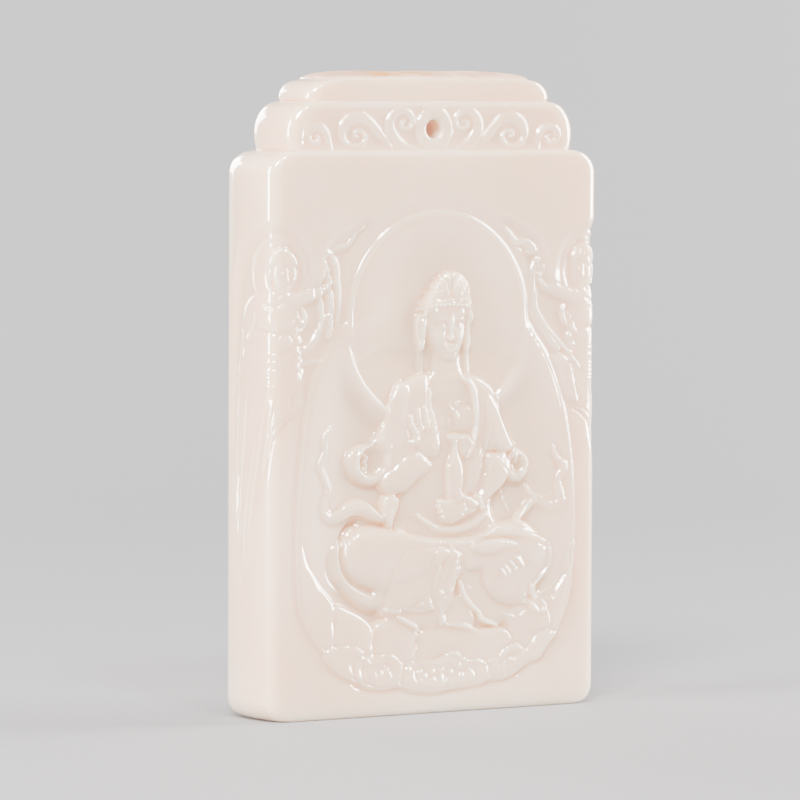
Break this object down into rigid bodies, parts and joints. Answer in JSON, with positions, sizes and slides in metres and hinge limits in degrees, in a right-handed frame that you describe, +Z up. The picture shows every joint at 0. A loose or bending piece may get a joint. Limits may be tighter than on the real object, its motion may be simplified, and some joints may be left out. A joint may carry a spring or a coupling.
{
  "type": "jade plaque",
  "caption": "Upright carved white jade tablet with a stepped scroll crown drilled for a cord and a seated figure in a halo on a lotus throne.",
  "frame": {"origin": "middle of the flat underside", "axes": "+Z up along the tablet's height, -Y out of the carved front, +X to the right seen from the front"},
  "size_m": [0.046, 0.0102, 0.074],
  "materials": {
    "jade": "greasy polish, translucent warm white with a trace of russet skin on the crest"
  },
  "bodies": {
    "root": {"plaque": "jade"}
  },
  "joints": []
}
